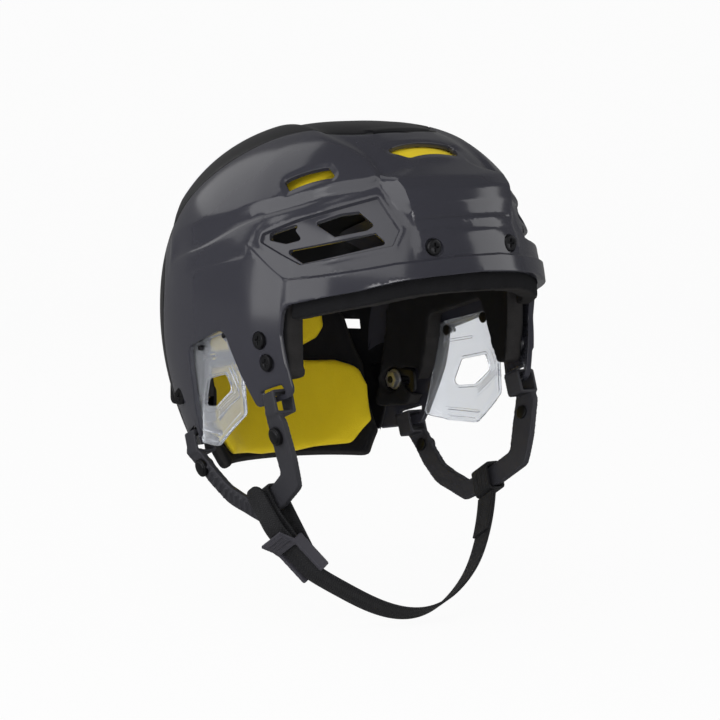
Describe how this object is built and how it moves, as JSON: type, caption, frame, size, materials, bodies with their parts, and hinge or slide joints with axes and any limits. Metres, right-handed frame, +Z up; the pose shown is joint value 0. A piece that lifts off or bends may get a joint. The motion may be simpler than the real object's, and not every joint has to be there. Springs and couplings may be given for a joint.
{
  "type": "ice hockey helmet",
  "caption": "Hockey helmet: sliding front and rear shells, foam liner, clear ear guards, moulded side harnesses and a buckled chin strap.",
  "frame": {"origin": "middle of the head opening, level with the brim's edge", "axes": "+Z up towards the crown, the face looks along -Y, +X is the wearer's left"},
  "size_m": [0.2062, 0.2611, 0.2978],
  "materials": {
    "front_plastic": "gloss",
    "rear_plastic": "gloss",
    "foam": "matt",
    "yellow_pad": "matt",
    "clear_plastic": "gloss",
    "dark_metal": "satin",
    "steel": "satin",
    "harness_plastic": "matt",
    "webbing": "woven",
    "buckle_plastic": "satin"
  },
  "bodies": {
    "front": {"front_shell": "front_plastic", "forehead_pad": "foam", "brim_liner": "foam", "right_crown_pad": "yellow_pad", "left_crown_pad": "yellow_pad", "right_side_liner": "foam", "left_side_liner": "foam", "right_ear_guard": "clear_plastic", "left_ear_guard": "clear_plastic", "ear_guard_rivets": "dark_metal", "front_screws": "dark_metal", "front_nuts": "steel", "temple_screws": "dark_metal", "temple_nuts": "steel", "adjuster_screws": "dark_metal", "adjuster_washers": "steel", "adjuster_nuts": "steel"},
    "rear": {"rear_shell": "rear_plastic", "rear_liner": "foam", "crown_pad": "yellow_pad", "occipital_pad": "yellow_pad", "right_upper_rear_pad": "yellow_pad", "left_upper_rear_pad": "yellow_pad"},
    "right_harness_body": {"right_harness": "harness_plastic", "right_snaps": "dark_metal"},
    "left_harness_body": {"left_harness": "harness_plastic", "left_snaps": "dark_metal"},
    "strap": {"chin_strap": "webbing", "strap_lap": "webbing", "adjuster_strap": "webbing"},
    "buckle_body": {"buckle": "buckle_plastic"}
  },
  "joints": [
    {"name": "size_slide", "type": "slide", "parent": "front", "child": "rear", "axis": [0, 1, 0], "range_m": [0, 0.012]},
    {"name": "harness_sway", "type": "hinge", "parent": "front", "child": "right_harness_body", "pos_m": [-0.0906, -0.048, -0.0678], "axis": [0.0951, 0.9411, -0.3246], "range_deg": [-8, 8]},
    {"name": "left_harness_sway", "type": "hinge", "parent": "front", "child": "left_harness_body", "pos_m": [0.0906, -0.048, -0.0678], "axis": [-0.0951, 0.9411, -0.3246], "range_deg": [-8, 8]},
    {"name": "chin_sway", "type": "hinge", "parent": "right_harness_body", "child": "strap", "pos_m": [-0.0812, -0.028, -0.13], "axis": [0.0951, 0.9411, -0.3246], "range_deg": [-8.36, 8.36]},
    {"name": "buckle_tilt", "type": "hinge", "parent": "strap", "child": "buckle_body", "pos_m": [-0.0719, -0.04475, -0.159], "axis": [0, -0.866, 0.5], "range_deg": [0, 25]}
  ],
  "couplings": [
    {"joint": "left_harness_sway", "follows": "harness_sway", "ratio": 1},
    {"joint": "chin_sway", "follows": "harness_sway", "ratio": -1.045}
  ]
}
